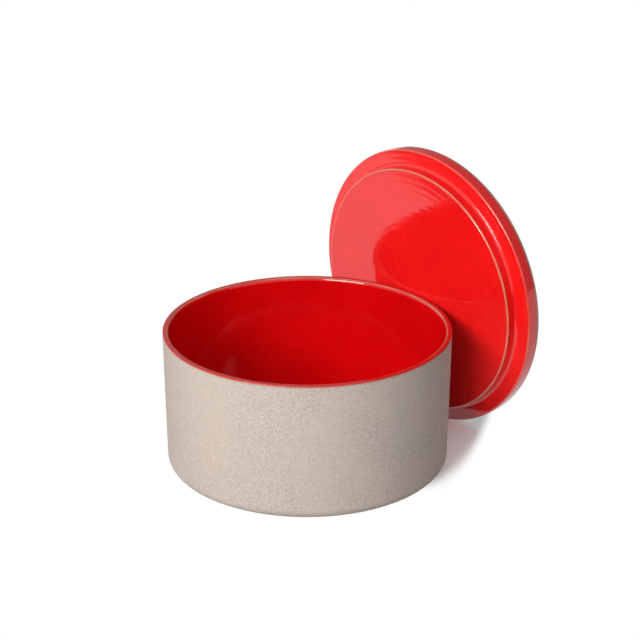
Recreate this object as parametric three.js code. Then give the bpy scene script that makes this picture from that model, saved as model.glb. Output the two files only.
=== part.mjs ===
import * as THREE from 'three';

// Lidded stoneware bowl, in millimetres, +Z up. The origin is the middle of the bowl's
// underside. The lid is off and leans against the bowl's rim, with its underside in view.

// Bowl
const rimRadius = 72.1;
const wallFlare = 1.3;
const bowlHeight = 71.25;
const bowlWall = 3.5;
const bowlFloor = 5;
const footRound = 5.5;
const wellRound = 8;
const mouthRound = 1.6;
const rimRound = 0.3;

// Lid
const lidOverhang = 1.4;
const plugPlay = 3.7;
const plugHeight = 6.25;
const flangeThickness = 8.6;
const plugEdgeRound = 1;
const plugRootRound = 1.8;
const flangeEdgeRound = 1;
const lidTopRound = 2.4;
const clayStep = 0.15;

// Glaze coats, each a hair clear of the clay that carries it
const glazeThickness = 0.5;
const coatGap = 0.3;

// How the lid leans
const leanFromUpright = 2.8;
const leanDirection = 42.12;
const lidSideShift = -3.5;
const leanGap = 0.5;

// Facets
const turnSegments = 64;
const smallArcSteps = 3;
const largeArcSteps = 4;
const largeArcRadius = 2;

// Values that follow from the sizes above
const mouthRadius = rimRadius - bowlWall;
const footRadius = rimRadius - wallFlare;
const wellRadius = footRadius - bowlWall;
const lidRadius = rimRadius + lidOverhang;
const plugRadius = mouthRadius - plugPlay;
const coatDepth = glazeThickness + coatGap;

const corner = (x, z, round = 0) => ({ x, z, round });

// Turns a list of corners into outline points, with an arc where a corner is rounded.
function outline(corners) {
  const points = [];
  corners.forEach((here, index) => {
    const middle = new THREE.Vector2(here.x, here.z);
    if (here.round <= 0) {
      points.push(middle);
      return;
    }
    const before = corners[index - 1];
    const after = corners[index + 1];
    const toBefore = new THREE.Vector2(before.x, before.z).sub(middle).normalize();
    const toAfter = new THREE.Vector2(after.x, after.z).sub(middle).normalize();
    const halfAngle = Math.acos(toBefore.dot(toAfter)) / 2;
    const bisector = toBefore.clone().add(toAfter).normalize();
    const reach = here.round / Math.sin(halfAngle);
    const centre = middle.clone().addScaledVector(bisector, reach);
    const tangent = here.round / Math.tan(halfAngle);
    const start = middle.clone().addScaledVector(toBefore, tangent).sub(centre);
    const end = middle.clone().addScaledVector(toAfter, tangent).sub(centre);
    const turn = Math.atan2(start.cross(end), start.dot(end));
    const steps = here.round > largeArcRadius ? largeArcSteps : smallArcSteps;
    for (let step = 0; step <= steps; step += 1) {
      const spoke = start.clone().rotateAround(new THREE.Vector2(), (turn * step) / steps);
      points.push(centre.clone().add(spoke));
    }
  });
  return points;
}

// The glazed face of the bowl, from the middle of its floor to the rim's outer edge,
// moved down into the clay by depth.
function wellFace(depth) {
  return [
    corner(0, bowlFloor - depth),
    corner(wellRadius + depth, bowlFloor - depth, wellRound + depth),
    corner(mouthRadius + depth, bowlHeight - depth, Math.max(mouthRound - depth, 0)),
    corner(rimRadius, bowlHeight - depth),
  ];
}

// The glazed face of the lid, from the middle of its plug to the top of its side,
// moved up into the clay by depth. The flange's underside is at height 0.
function undersideFace(depth) {
  return [
    corner(0, depth - plugHeight),
    corner(plugRadius - depth, depth - plugHeight, Math.max(plugEdgeRound - depth, 0)),
    corner(plugRadius - depth, depth, plugRootRound + depth),
    corner(lidRadius - depth, depth, Math.max(flangeEdgeRound - depth, 0)),
    corner(lidRadius - depth, flangeThickness - lidTopRound),
  ];
}

function turned(name, corners, material) {
  const shape = new THREE.LatheGeometry(outline(corners), turnSegments);
  shape.rotateX(Math.PI / 2);
  const mesh = new THREE.Mesh(shape, material);
  mesh.name = name;
  return mesh;
}

const clay = new THREE.MeshStandardMaterial({ color: 0xbeb2a8, roughness: 0.9, metalness: 0 });
const glaze = new THREE.MeshStandardMaterial({ color: 0xd8101a, roughness: 0.12, metalness: 0 });

function bowlBody() {
  const outside = [
    corner(0, 0),
    corner(footRadius, 0, footRound),
    corner(rimRadius, bowlHeight - coatDepth),
  ];
  return turned('bowl_body', [...outside, ...wellFace(coatDepth).slice(0, -1).reverse()], clay);
}

function bowlGlaze() {
  const seen = wellFace(0);
  seen[seen.length - 1].round = rimRound;
  return turned('bowl_glaze', [...wellFace(glazeThickness), ...seen.reverse()], glaze);
}

function lidBody() {
  const under = undersideFace(coatDepth);
  const glazeEnd = under.pop();
  const edgeRadius = lidRadius - clayStep;
  const top = [
    corner(glazeEnd.x, glazeEnd.z + coatGap),
    corner(edgeRadius, glazeEnd.z + coatGap),
    corner(edgeRadius, flangeThickness, lidTopRound - coatGap),
    corner(0, flangeThickness),
  ];
  return turned('lid_body', [...under, ...top], clay);
}

function lidGlaze() {
  const backing = undersideFace(glazeThickness).reverse();
  return turned('lid_glaze', [...undersideFace(0), ...backing], glaze);
}

// The lid stands on the plug-side edge of its flange, and the plug's face touches the
// bowl's rim. Both contacts set its place.
function leaningLid() {
  const lean = THREE.MathUtils.degToRad(leanFromUpright);
  const drop = (point) => point.x * Math.cos(lean) - point.y * Math.sin(lean);
  const centreHeight = Math.max(...outline(undersideFace(0)).map(drop));
  const plugCentreHeight = centreHeight - plugHeight * Math.sin(lean);
  const faceAtRim = rimRadius + leanGap / Math.cos(lean);
  const plugCentreOut = faceAtRim - (plugCentreHeight - bowlHeight) * Math.tan(lean);

  const standing = new THREE.Group();
  standing.rotation.y = Math.PI / 2 - lean;
  standing.position.set(
    plugCentreOut + plugHeight * Math.cos(lean),
    lidSideShift,
    centreHeight,
  );
  standing.add(lidBody(), lidGlaze());

  const facing = new THREE.Group();
  facing.rotation.z = THREE.MathUtils.degToRad(leanDirection);
  facing.add(standing);
  return facing;
}

const liddedBowl = new THREE.Group();
liddedBowl.add(bowlBody(), bowlGlaze(), leaningLid());

export default liddedBowl;
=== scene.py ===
import math

import bmesh
import bpy
from mathutils import Matrix, Vector


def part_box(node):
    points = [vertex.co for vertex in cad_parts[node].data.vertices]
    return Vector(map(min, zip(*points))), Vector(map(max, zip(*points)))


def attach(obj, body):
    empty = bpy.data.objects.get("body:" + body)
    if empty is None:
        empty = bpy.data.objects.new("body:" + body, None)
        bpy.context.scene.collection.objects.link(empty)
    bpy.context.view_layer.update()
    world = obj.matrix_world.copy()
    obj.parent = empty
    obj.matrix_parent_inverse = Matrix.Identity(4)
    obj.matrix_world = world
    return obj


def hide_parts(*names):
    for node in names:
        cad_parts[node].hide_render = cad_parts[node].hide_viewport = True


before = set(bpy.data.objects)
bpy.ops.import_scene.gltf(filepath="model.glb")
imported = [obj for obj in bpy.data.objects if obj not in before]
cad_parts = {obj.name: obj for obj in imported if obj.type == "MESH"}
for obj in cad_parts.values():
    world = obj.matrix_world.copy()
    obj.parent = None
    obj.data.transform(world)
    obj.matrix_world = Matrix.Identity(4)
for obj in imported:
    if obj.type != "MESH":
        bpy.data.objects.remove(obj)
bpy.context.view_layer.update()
mm = 0.001

# camera, fitted to the outlines of the rim, the foot and the lid
camera = dict(
    place=(0.0, -0.9982, 0.48488),
    aim=(0.00632, 0.0, 0.07541),
    roll=math.radians(0.048),
    lens=121.995,
    sensor=36.0,
    nearest=0.05,
)

# bowl, in metres; the rim's radius and the height come from the bowl_glaze part of model.glb
bowlLow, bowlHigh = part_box("bowl_glaze")
bowl = dict(
    rimRadius=(bowlHigh[0] - bowlLow[0]) / 2,
    height=bowlHigh[2],
    flare=1.3 * mm,  # how far the rim stands out past the foot
    wall=3.5 * mm,
    floor=5.0 * mm,
    footRound=5.5 * mm,
    wellRound=8.0 * mm,
    rimRound=0.35 * mm,
    # across from the wall, down from the rim, and rounding
    mouthEdge=(1.0 * mm, 0.0 * mm, 0.4 * mm),
    mouthSlope=((0.35 * mm, 0.9 * mm, 0.5 * mm), (0.0 * mm, 2.6 * mm, 1.2 * mm)),
)

# lid, with heights counted from the underside of its flange
lid = dict(
    overhang=1.4 * mm,
    plugPlay=3.7 * mm,
    plugHeight=6.25 * mm,
    flange=8.6 * mm,
    plugEdge=1.0 * mm,
    plugRoot=1.8 * mm,
    flangeEdge=1.0 * mm,
    topRound=2.4 * mm,
    clayRound=2.304 * mm,  # a little less than the height of the clay edge
    clayStep=0.15 * mm,
    lean=math.radians(2.8),
    direction=math.radians(42.12),
    sideShift=-3.5 * mm,
    restGap=0.5 * mm,
)

coat = dict(thickness=0.5 * mm, gap=0.02 * mm)
turning = dict(steps=192, roundSteps=7, weldReach=0.001 * mm, ringReach=0.004 * mm)

mouthRadius = bowl["rimRadius"] - bowl["wall"]
footRadius = bowl["rimRadius"] - bowl["flare"]
wellRadius = footRadius - bowl["wall"]
lidRadius = bowl["rimRadius"] + lid["overhang"]
plugRadius = mouthRadius - lid["plugPlay"]
coatDepth = coat["thickness"] + coat["gap"]


# each corner is (radius, height, rounding); a rounded one becomes an arc right round
def turnedPiece(name, corners):
    bm = bmesh.new()
    verts = [bm.verts.new((radius, 0, height)) for radius, height, _ in corners]
    edges = [bm.edges.new(pair) for pair in zip(verts, verts[1:])]
    bmesh.ops.spin(bm, geom=verts + edges, cent=(0, 0, 0), axis=(0, 0, 1),
                   angle=math.tau, steps=turning["steps"], use_merge=True)
    bmesh.ops.remove_doubles(bm, verts=bm.verts, dist=turning["weldReach"])
    bmesh.ops.recalc_face_normals(bm, faces=bm.faces)
    for radius, height, rounding in corners:
        if rounding <= 0:
            continue

        def onRing(vert):
            apart = math.hypot(vert.co.xy.length - radius, vert.co.z - height)
            return apart < turning["ringReach"]

        ring = [edge for edge in bm.edges if all(onRing(vert) for vert in edge.verts)]
        bmesh.ops.bevel(bm, geom=ring, offset=rounding, offset_type="OFFSET",
                        segments=turning["roundSteps"], profile=0.5,
                        affect="EDGES", material=-1)
    bmesh.ops.recalc_face_normals(bm, faces=bm.faces)
    mesh = bpy.data.meshes.new(name)
    bm.to_mesh(mesh)
    bm.free()
    mesh.shade_smooth()
    piece = bpy.data.objects.new(name, mesh)
    bpy.context.scene.collection.objects.link(piece)
    weighted = piece.modifiers.new("flatFaceShading", "WEIGHTED_NORMAL")
    weighted.keep_sharp = True
    return piece


# the glazed face inside the bowl, out to the rim's outer edge, sunk by depth
def wellFace(depth):
    top = bowl["height"] - depth
    corners = [
        (0, bowl["floor"] - depth, 0),
        (wellRadius + depth, bowl["floor"] - depth, bowl["wellRound"] + depth),
    ]
    for across, down, rounding in (*bowl["mouthSlope"][::-1], bowl["mouthEdge"]):
        corners.append((mouthRadius + across + depth, top - down, rounding))
    return [*corners, (bowl["rimRadius"], top, 0)]


# the glazed face of the lid, from the middle of its plug to the top of its side
def undersideFace(depth):
    return [
        (0, depth - lid["plugHeight"], 0),
        (plugRadius - depth, depth - lid["plugHeight"], max(lid["plugEdge"] - depth, 0)),
        (plugRadius - depth, depth, lid["plugRoot"] + depth),
        (lidRadius - depth, depth, max(lid["flangeEdge"] - depth, 0)),
        (lidRadius - depth, lid["flange"] - lid["topRound"], 0),
    ]


# the lid stands on the edge of its flange, and its plug touches the rim
def lidPlace():
    lean = lid["lean"]
    lowest = (lidRadius - lid["flangeEdge"]) * math.cos(lean)
    height = lowest + lid["flangeEdge"] * (1 - math.sin(lean))
    plugHeight = height - lid["plugHeight"] * math.sin(lean)
    atRim = bowl["rimRadius"] + lid["restGap"] / math.cos(lean)
    plugOut = atRim - (plugHeight - bowl["height"]) * math.tan(lean)
    out = plugOut + lid["plugHeight"] * math.cos(lean)
    facing = Matrix.Rotation(lid["direction"], 4, "Z")
    standing = Matrix.Rotation(math.pi / 2 - lean, 4, "Y")
    return facing @ Matrix.Translation((out, lid["sideShift"], height)) @ standing


lidMatrix = lidPlace()


def mathNode(tree, operation, first, second=None):
    node = tree.nodes.new("ShaderNodeMath")
    node.operation = operation
    for index, value in enumerate((first, second)):
        if value is None:
            continue
        if isinstance(value, (int, float)):
            node.inputs[index].default_value = value
        else:
            tree.links.new(value, node.inputs[index])
    return node.outputs[0]


def rangeNode(tree, value, low, high, outLow=0.0, outHigh=1.0):
    node = tree.nodes.new("ShaderNodeMapRange")
    node.interpolation_type = "SMOOTHSTEP"
    tree.links.new(value, node.inputs["Value"])
    for key, number in (("From Min", low), ("From Max", high),
                        ("To Min", outLow), ("To Max", outHigh)):
        if isinstance(number, (int, float)):
            node.inputs[key].default_value = number
        else:
            tree.links.new(number, node.inputs[key])
    return node.outputs["Result"]


def mixColour(tree, factor, first, second):
    node = tree.nodes.new("ShaderNodeMix")
    node.data_type = "RGBA"
    for socket, value in ((node.inputs[0], factor), (node.inputs[6], first),
                          (node.inputs[7], second)):
        if isinstance(value, bpy.types.NodeSocket):
            tree.links.new(value, socket)
        else:
            socket.default_value = value
    return node.outputs[2]


def noiseNode(tree, vector, scale, detail, roughness):
    node = tree.nodes.new("ShaderNodeTexNoise")
    node.inputs["Scale"].default_value = scale
    node.inputs["Detail"].default_value = detail
    node.inputs["Roughness"].default_value = roughness
    tree.links.new(vector, node.inputs["Vector"])
    return node.outputs["Fac"]


def vectorValue(tree, operation, output, first, second=None):
    node = tree.nodes.new("ShaderNodeVectorMath")
    node.operation = operation
    tree.links.new(first, node.inputs[0])
    if second is not None:
        node.inputs[1].default_value = second
    return node.outputs[output]


def newGroup(name, inputs, outputs):
    group = bpy.data.node_groups.new(name, "ShaderNodeTree")
    for label, kind, value in inputs:
        socket = group.interface.new_socket(label, in_out="INPUT", socket_type=kind)
        if value is not None:
            socket.default_value = value
    for label in outputs:
        group.interface.new_socket(label, in_out="OUTPUT", socket_type="NodeSocketFloat")
    source = group.nodes.new("NodeGroupInput")
    result = group.nodes.new("NodeGroupOutput")
    return group, source.outputs, result.inputs


def placeGroup(tree, group, vector, **values):
    node = tree.nodes.new("ShaderNodeGroup")
    node.node_tree = group
    tree.links.new(vector, node.inputs["Vector"])
    for key, value in values.items():
        node.inputs[key].default_value = value
    return node.outputs


# glaze break: thin glaze along one edge ring, ragged and patchy
breakLook = dict(
    ragged=dict(scale=260.0, detail=3.0, roughness=0.5), raggedReach=1.1, leastReach=0.45,
    solidCore=0.25,
    patches=dict(scale=55.0, detail=3.0, roughness=0.5), patchRange=(0.3, 0.62),
    faintest=0.25,
)


def makeGlazeBreak():
    look = breakLook
    group, given, result = newGroup(
        "glazeBreak",
        [("Vector", "NodeSocketVector", None), ("Radius", "NodeSocketFloat", 0.07),
         ("Height", "NodeSocketFloat", 0.0), ("Width", "NodeSocketFloat", 0.001)],
        ["Mask"])
    parts = group.nodes.new("ShaderNodeSeparateXYZ")
    group.links.new(given["Vector"], parts.inputs[0])
    squareX = mathNode(group, "MULTIPLY", parts.outputs[0], parts.outputs[0])
    squareY = mathNode(group, "MULTIPLY", parts.outputs[1], parts.outputs[1])
    radius = mathNode(group, "SQRT", mathNode(group, "ADD", squareX, squareY))
    across = mathNode(group, "SUBTRACT", radius, given["Radius"])
    along = mathNode(group, "SUBTRACT", parts.outputs[2], given["Height"])
    apart = mathNode(group, "SQRT", mathNode(
        group, "ADD", mathNode(group, "MULTIPLY", across, across),
        mathNode(group, "MULTIPLY", along, along)))
    ragged = noiseNode(group, given["Vector"], **look["ragged"])
    ragged = mathNode(group, "MULTIPLY", ragged, look["raggedReach"])
    reach = mathNode(group, "MULTIPLY", given["Width"],
                     mathNode(group, "ADD", ragged, look["leastReach"]))
    core = mathNode(group, "MULTIPLY", reach, look["solidCore"])
    patches = noiseNode(group, given["Vector"], **look["patches"])
    patchy = rangeNode(group, patches, *look["patchRange"], look["faintest"], 1.0)
    mask = mathNode(group, "MULTIPLY", rangeNode(group, apart, core, reach, 1.0, 0.0), patchy)
    group.links.new(mask, result["Mask"])
    return group


# glaze skin: clouded red with fine specks, and the ripple of a dipped and turned coat
skinLook = dict(
    cloud=dict(scale=38.0, detail=2.0, roughness=0.5), cloudShare=0.30,
    fine=dict(scale=1500.0, detail=2.0, roughness=0.6), fineShare=0.70,
    peel=dict(scale=650.0, detail=1.5, roughness=0.5), peelHeight=0.40,
    broad=dict(scale=60.0, detail=1.0, roughness=0.5), broadHeight=0.9,
    ringScale=90.0, ringDistortion=2.5, ringDetail=1.5, ringHeight=0.35,
    speckRange=(0.66, 0.80), shineRange=(0.3, 0.7), shine=(0.05, 0.10),
)


def makeGlazeSkin():
    look = skinLook
    group, given, result = newGroup(
        "glazeSkin", [("Vector", "NodeSocketVector", None)],
        ["Tone", "Speck", "Height", "Roughness"])
    cloud = noiseNode(group, given["Vector"], **look["cloud"])
    fine = noiseNode(group, given["Vector"], **look["fine"])
    peel = noiseNode(group, given["Vector"], **look["peel"])
    broad = noiseNode(group, given["Vector"], **look["broad"])
    rings = group.nodes.new("ShaderNodeTexWave")
    rings.wave_type = "RINGS"
    rings.rings_direction = "Z"
    rings.inputs["Scale"].default_value = look["ringScale"]
    rings.inputs["Distortion"].default_value = look["ringDistortion"]
    rings.inputs["Detail"].default_value = look["ringDetail"]
    group.links.new(given["Vector"], rings.inputs["Vector"])
    tone = mathNode(group, "ADD", mathNode(group, "MULTIPLY", cloud, look["cloudShare"]),
                    mathNode(group, "MULTIPLY", fine, look["fineShare"]))
    group.links.new(tone, result["Tone"])
    group.links.new(rangeNode(group, fine, *look["speckRange"]), result["Speck"])
    height = mathNode(group, "ADD", mathNode(group, "MULTIPLY", peel, look["peelHeight"]),
                      mathNode(group, "MULTIPLY", broad, look["broadHeight"]))
    height = mathNode(group, "ADD", height,
                      mathNode(group, "MULTIPLY", rings.outputs["Fac"], look["ringHeight"]))
    group.links.new(height, result["Height"])
    shine = rangeNode(group, cloud, *look["shineRange"], *look["shine"])
    group.links.new(shine, result["Roughness"])
    return group


# clay grain: sandy stoneware with brown flecks
grainLook = dict(
    grain=dict(scale=1900.0, detail=3.0, roughness=0.7), grainShare=0.6,
    coarse=dict(scale=900.0, detail=2.0, roughness=0.6), coarseShare=0.4, coarseHeight=0.7,
    cloud=dict(scale=32.0, detail=3.0, roughness=0.55),
    fleckScale=900.0, fleckRange=(0.10, 0.32), fewRange=(0.50, 0.62),
)


def makeClayGrain():
    look = grainLook
    group, given, result = newGroup(
        "clayGrain", [("Vector", "NodeSocketVector", None)],
        ["Tone", "Speck", "Cloud", "Height"])
    grain = noiseNode(group, given["Vector"], **look["grain"])
    coarse = noiseNode(group, given["Vector"], **look["coarse"])
    cloud = noiseNode(group, given["Vector"], **look["cloud"])
    tone = mathNode(group, "ADD", mathNode(group, "MULTIPLY", grain, look["grainShare"]),
                    mathNode(group, "MULTIPLY", coarse, look["coarseShare"]))
    group.links.new(tone, result["Tone"])
    cells = group.nodes.new("ShaderNodeTexVoronoi")
    cells.inputs["Scale"].default_value = look["fleckScale"]
    group.links.new(given["Vector"], cells.inputs["Vector"])
    flecks = rangeNode(group, cells.outputs["Distance"], *look["fleckRange"], 1.0, 0.0)
    few = rangeNode(group, coarse, *look["fewRange"])
    group.links.new(mathNode(group, "MULTIPLY", flecks, few), result["Speck"])
    group.links.new(cloud, result["Cloud"])
    height = mathNode(group, "ADD", grain,
                      mathNode(group, "MULTIPLY", coarse, look["coarseHeight"]))
    group.links.new(height, result["Height"])
    return group


glazeBreak = makeGlazeBreak()
glazeSkin = makeGlazeSkin()
clayGrain = makeClayGrain()


# with a matrix, the material's pattern is counted from the middle of the leaning lid
def startMaterial(name, matrix=None):
    material = bpy.data.materials.new(name)
    material.use_nodes = True
    tree = material.node_tree
    shader = tree.nodes["Principled BSDF"]
    vector = tree.nodes.new("ShaderNodeTexCoord").outputs["Object"]
    if matrix is not None:
        back = matrix.inverted()
        mapping = tree.nodes.new("ShaderNodeMapping")
        mapping.inputs["Location"].default_value = back.to_translation()
        mapping.inputs["Rotation"].default_value = back.to_euler()
        tree.links.new(vector, mapping.inputs["Vector"])
        vector = mapping.outputs["Vector"]
    return material, tree, shader, vector


def addBump(tree, shader, height, strength, distance):
    bump = tree.nodes.new("ShaderNodeBump")
    bump.inputs["Strength"].default_value = strength
    bump.inputs["Distance"].default_value = distance
    tree.links.new(height, bump.inputs["Height"])
    tree.links.new(bump.outputs["Normal"], shader.inputs["Normal"])


clayLook = dict(
    light=(0.63, 0.545, 0.49, 1), dark=(0.43, 0.355, 0.305, 1), toneRange=(0.36, 0.64),
    warm=(0.60, 0.49, 0.415, 1), warmRange=(0.4, 0.7), warmShare=0.45,
    fleck=(0.22, 0.17, 0.14, 1), fleckShare=0.7,
    blush=(0.42, 0.17, 0.12, 1), blushRange=(0.1 * mm, 1.0 * mm), blushShare=0.45,
    roughness=0.88, specular=0.25, bump=0.35, grainDepth=0.18 * mm,
)


# the clay blushes red where it meets the glaze, at edgeHeight
def clayMaterial(name, edgeHeight, matrix=None):
    look = clayLook
    material, tree, shader, vector = startMaterial(name, matrix)
    grain = placeGroup(tree, clayGrain, vector)
    tone = rangeNode(tree, grain["Tone"], *look["toneRange"])
    colour = mixColour(tree, tone, look["dark"], look["light"])
    warm = mathNode(tree, "MULTIPLY", rangeNode(tree, grain["Cloud"], *look["warmRange"]),
                    look["warmShare"])
    colour = mixColour(tree, warm, colour, look["warm"])
    flecks = mathNode(tree, "MULTIPLY", grain["Speck"], look["fleckShare"])
    colour = mixColour(tree, flecks, colour, look["fleck"])
    parts = tree.nodes.new("ShaderNodeSeparateXYZ")
    tree.links.new(vector, parts.inputs[0])
    fromEdge = mathNode(tree, "ABSOLUTE",
                        mathNode(tree, "SUBTRACT", parts.outputs[2], edgeHeight))
    blush = rangeNode(tree, fromEdge, *look["blushRange"], look["blushShare"], 0.0)
    colour = mixColour(tree, blush, colour, look["blush"])
    tree.links.new(colour, shader.inputs["Base Color"])
    shader.inputs["Roughness"].default_value = look["roughness"]
    shader.inputs["Specular IOR Level"].default_value = look["specular"]
    addBump(tree, shader, grain["Height"], look["bump"], look["grainDepth"])
    return material


glazeLook = dict(
    toneRange=(0.34, 0.66), speck=(0.95, 0.04, 0.025, 1), speckShare=0.4,
    thin=(0.56, 0.25, 0.13, 1), ior=1.55, peelDepth=0.05 * mm,
)


# each thin edge is (radius, height, width, strength)
def glazeMaterial(name, thinEdges, deep, bright, peel, matrix=None):
    look = glazeLook
    material, tree, shader, vector = startMaterial(name, matrix)
    skin = placeGroup(tree, glazeSkin, vector)
    colour = mixColour(tree, rangeNode(tree, skin["Tone"], *look["toneRange"]), deep, bright)
    specks = mathNode(tree, "MULTIPLY", skin["Speck"], look["speckShare"])
    colour = mixColour(tree, specks, colour, look["speck"])
    for radius, height, width, strength in thinEdges:
        mask = placeGroup(tree, glazeBreak, vector, Radius=radius, Height=height,
                          Width=width)["Mask"]
        colour = mixColour(tree, mathNode(tree, "MULTIPLY", mask, strength), colour,
                           look["thin"])
    tree.links.new(colour, shader.inputs["Base Color"])
    tree.links.new(skin["Roughness"], shader.inputs["Roughness"])
    shader.inputs["IOR"].default_value = look["ior"]
    addBump(tree, shader, skin["Height"], peel, look["peelDepth"])
    return material


def finishPiece(piece, material, body, node, matrix=None):
    if matrix is not None:
        piece.data.transform(matrix)
    piece.data.materials.append(material)
    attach(piece, body)
    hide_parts(node)


bowlClay = turnedPiece("bowlClay", [
    (0, 0, 0),
    (footRadius, 0, bowl["footRound"]),
    (bowl["rimRadius"], bowl["height"] - coatDepth, 0),
    *wellFace(coatDepth)[-2::-1],
])
rawStoneware = clayMaterial("rawStoneware", bowl["height"] - coatDepth)
finishPiece(bowlClay, rawStoneware, "bowl", "bowl_body")

# the bowl's red is set darker than the lid's same glaze: painted shade for the dimmer light
# inside the bowl
bowlRedWithPaintedShade = dict(deep=(0.58, 0.001, 0.003, 1), bright=(0.74, 0.003, 0.004, 1), peel=0.22)
bowlThinEdges = [
    (mouthRadius + bowl["mouthEdge"][0], bowl["height"], 0.75 * mm, 0.9),
    (bowl["rimRadius"], bowl["height"] - 0.3 * mm, 0.4 * mm, 0.25),
]
seenFace = wellFace(0)
seenFace[-1] = (bowl["rimRadius"], bowl["height"], bowl["rimRound"])
bowlGlaze = turnedPiece("bowlGlaze", [*wellFace(coat["thickness"]), *seenFace[::-1]])
redGlazeBowl = glazeMaterial("redGlazeBowl", bowlThinEdges, **bowlRedWithPaintedShade)
finishPiece(bowlGlaze, redGlazeBowl, "bowl", "bowl_glaze")
print("bowl made")

underClay = undersideFace(coatDepth)
glazeEnd = underClay.pop()
clayEdgeRadius = lidRadius - lid["clayStep"]
lidClay = turnedPiece("lidClay", [
    *underClay,
    (glazeEnd[0], glazeEnd[1] + coat["gap"], 0),
    (clayEdgeRadius, glazeEnd[1] + coat["gap"], 0),
    (clayEdgeRadius, lid["flange"], lid["clayRound"]),
    (0, lid["flange"], 0),
])
rawStonewareLid = clayMaterial("rawStonewareLid", glazeEnd[1], lidMatrix)
finishPiece(lidClay, rawStonewareLid, "lid", "lid_body", lidMatrix)

lidRed = dict(deep=(0.78, 0.006, 0.007, 1), bright=(0.95, 0.013, 0.012, 1), peel=0.45)
lidThinEdges = [
    (plugRadius - 0.25 * mm, -lid["plugHeight"] + 0.25 * mm, 0.75 * mm, 0.9),
    (lidRadius - 0.25 * mm, 0.25 * mm, 0.6 * mm, 0.4),
    (lidRadius, lid["flange"] - lid["topRound"], 0.6 * mm, 0.5),
]
lidGlaze = turnedPiece("lidGlaze", [
    *undersideFace(0), *undersideFace(coat["thickness"])[::-1]])
redGlazeLid = glazeMaterial("redGlazeLid", lidThinEdges, **lidRed, matrix=lidMatrix)
finishPiece(lidGlaze, redGlazeLid, "lid", "lid_glaze", lidMatrix)
print("lid made")


def makeCamera():
    data = bpy.data.cameras.new("studioCamera")
    data.lens = camera["lens"]
    data.sensor_width = camera["sensor"]
    data.clip_start = camera["nearest"]
    view = bpy.data.objects.new("studioCamera", data)
    place = Vector(camera["place"])
    aim = Vector(camera["aim"]) - place
    turn = aim.to_track_quat("-Z", "Y").to_matrix().to_4x4()
    roll = Matrix.Rotation(camera["roll"], 4, "Z")
    view.matrix_world = Matrix.Translation(place) @ turn @ roll
    bpy.context.scene.collection.objects.link(view)
    bpy.context.scene.camera = view


def mattShader(tree, colour):
    node = tree.nodes.new("ShaderNodeBsdfDiffuse")
    node.inputs["Color"].default_value = (*colour, 1)
    return node


def glowShader(tree, strength):
    node = tree.nodes.new("ShaderNodeEmission")
    if isinstance(strength, float):
        node.inputs["Strength"].default_value = strength
    else:
        tree.links.new(strength, node.inputs["Strength"])
    return node


def addShaders(tree, first, second):
    node = tree.nodes.new("ShaderNodeAddShader")
    tree.links.new(first.outputs[0], node.inputs[0])
    tree.links.new(second.outputs[0], node.inputs[1])
    return node


def mixShaders(tree, factor, first, second):
    node = tree.nodes.new("ShaderNodeMixShader")
    tree.links.new(factor, node.inputs[0])
    tree.links.new(first.outputs[0], node.inputs[1])
    tree.links.new(second.outputs[0], node.inputs[2])
    return node


floorLook = dict(
    halfSize=2.5, drop=0.2 * mm, tone=(0.62, 0.62, 0.62),
    # the camera sees a shadow in an oval by the lid, and plain white outside it
    seenTone=(1.14, 1.24, 1.24), lift=0.14, fade=(0.75, 1.15),
    shadowMiddle=(0.0815, 0.0538, 0.0), shadowTurn=math.radians(-12.4),
    shadowReach=(0.016, 0.090, 1.0),
    # the glaze mirrors a white table with a dark room past its edge
    tableSide=(0.46, 0.888, 0.0), tableEdge=(-0.070, -0.056), tableGlow=0.75,
    roomTone=(0.05, 0.05, 0.05), roomShare=0.1,
)


def floorMaterial():
    look = floorLook
    material = bpy.data.materials.new("whiteFloor")
    material.use_nodes = True
    tree = material.node_tree
    tree.nodes.clear()
    out = tree.nodes.new("ShaderNodeOutputMaterial")
    path = tree.nodes.new("ShaderNodeLightPath").outputs
    place = tree.nodes.new("ShaderNodeTexCoord").outputs["Object"]

    oval = tree.nodes.new("ShaderNodeMapping")
    oval.vector_type = "TEXTURE"
    oval.inputs["Location"].default_value = look["shadowMiddle"]
    oval.inputs["Rotation"].default_value = (0, 0, look["shadowTurn"])
    oval.inputs["Scale"].default_value = look["shadowReach"]
    tree.links.new(place, oval.inputs["Vector"])
    fromMiddle = vectorValue(tree, "LENGTH", "Value", oval.outputs["Vector"])
    fade = rangeNode(tree, fromMiddle, *look["fade"])
    shaded = addShaders(tree, mattShader(tree, look["seenTone"]),
                        glowShader(tree, look["lift"]))
    seen = mixShaders(tree, fade, shaded, glowShader(tree, 1.0))

    side = vectorValue(tree, "DOT_PRODUCT", "Value", place, look["tableSide"])
    onTable = rangeNode(tree, side, *look["tableEdge"], look["roomShare"], 1.0)
    glow = glowShader(tree, mathNode(tree, "MULTIPLY", onTable, look["tableGlow"]))
    mirrored = addShaders(tree, mattShader(tree, look["tone"]), glow)
    mirrored = mixShaders(tree, onTable, mattShader(tree, look["roomTone"]), mirrored)

    unseen = mixShaders(tree, path["Is Glossy Ray"], mattShader(tree, look["tone"]), mirrored)
    both = mixShaders(tree, path["Is Camera Ray"], unseen, seen)
    tree.links.new(both.outputs[0], out.inputs["Surface"])
    return material


def makeFloor():
    bm = bmesh.new()
    bmesh.ops.create_grid(bm, x_segments=1, y_segments=1, size=floorLook["halfSize"])
    mesh = bpy.data.meshes.new("studioFloor")
    bm.to_mesh(mesh)
    bm.free()
    mesh.materials.append(floorMaterial())
    floor = bpy.data.objects.new("studioFloor", mesh)
    floor.location.z = -floorLook["drop"]
    bpy.context.scene.collection.objects.link(floor)


# the glaze mirrors a white wall on the left, and a darker room on the right
skyLook = dict(
    fill=0.32, fillColour=(0.95, 0.98, 1.0, 1), seen=1.0,
    roomSide=(0.80, 0.60, 0.0), roomRange=(0.25, 0.60), roomLevel=0.35,
)


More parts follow.
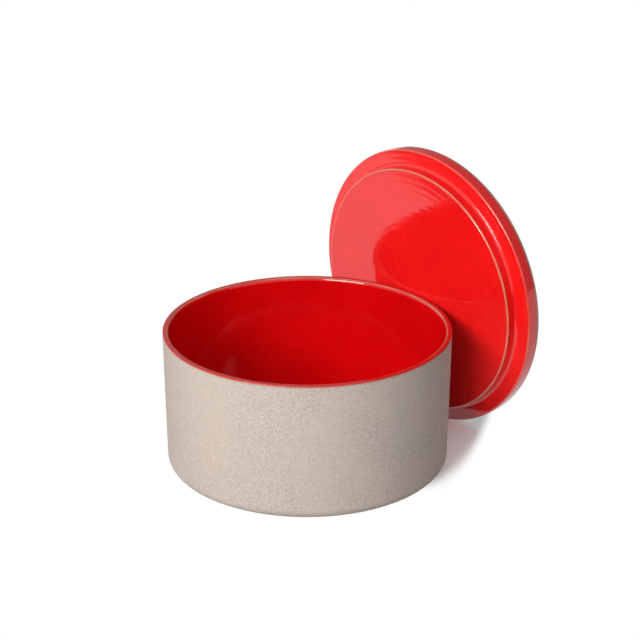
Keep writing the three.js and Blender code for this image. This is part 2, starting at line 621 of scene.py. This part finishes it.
def makeWorld():
    look = skyLook
    world = bpy.data.worlds.new("studioWorld")
    bpy.context.scene.world = world
    world.use_nodes = True
    tree = world.node_tree
    tree.nodes.clear()
    out = tree.nodes.new("ShaderNodeOutputWorld")
    air = tree.nodes.new("ShaderNodeBackground")
    path = tree.nodes.new("ShaderNodeLightPath").outputs
    seen = mathNode(tree, "MAXIMUM", path["Is Camera Ray"], path["Is Transmission Ray"])
    seen = mathNode(tree, "MAXIMUM", seen, path["Is Glossy Ray"])
    level = rangeNode(tree, seen, 0.0, 1.0, look["fill"], look["seen"])
    around = tree.nodes.new("ShaderNodeTexCoord").outputs["Generated"]
    toRoom = vectorValue(tree, "DOT_PRODUCT", "Value", around, look["roomSide"])
    room = rangeNode(tree, toRoom, *look["roomRange"], 1.0, look["roomLevel"])
    mirrored = rangeNode(tree, path["Is Glossy Ray"], 0.0, 1.0, 1.0, room)
    tree.links.new(mathNode(tree, "MULTIPLY", level, mirrored), air.inputs["Strength"])
    colour = mixColour(tree, seen, look["fillColour"], (1, 1, 1, 1))
    tree.links.new(colour, air.inputs["Color"])
    tree.links.new(air.outputs[0], out.inputs["Surface"])


softbox = dict(
    azimuth=math.radians(33), height=math.radians(29), distance=1.4,
    aim=(0.0, 0.0, 0.05), size=(0.78, 0.45), power=17.0,
)


def makeSoftbox():
    data = bpy.data.lights.new("softboxLeft", "AREA")
    data.shape = "RECTANGLE"
    data.size, data.size_y = softbox["size"]
    data.energy = softbox["power"]
    flat = softbox["distance"] * math.cos(softbox["height"])
    place = Vector((-flat * math.sin(softbox["azimuth"]),
                    -flat * math.cos(softbox["azimuth"]),
                    softbox["distance"] * math.sin(softbox["height"])))
    lamp = bpy.data.objects.new("softboxLeft", data)
    lamp.location = place
    lamp.rotation_euler = (Vector(softbox["aim"]) - place).to_track_quat("-Z", "Y").to_euler()
    bpy.context.scene.collection.objects.link(lamp)


makeCamera()
makeFloor()
makeWorld()
makeSoftbox()
bpy.context.scene.view_settings.view_transform = "Standard"
print("studio made")
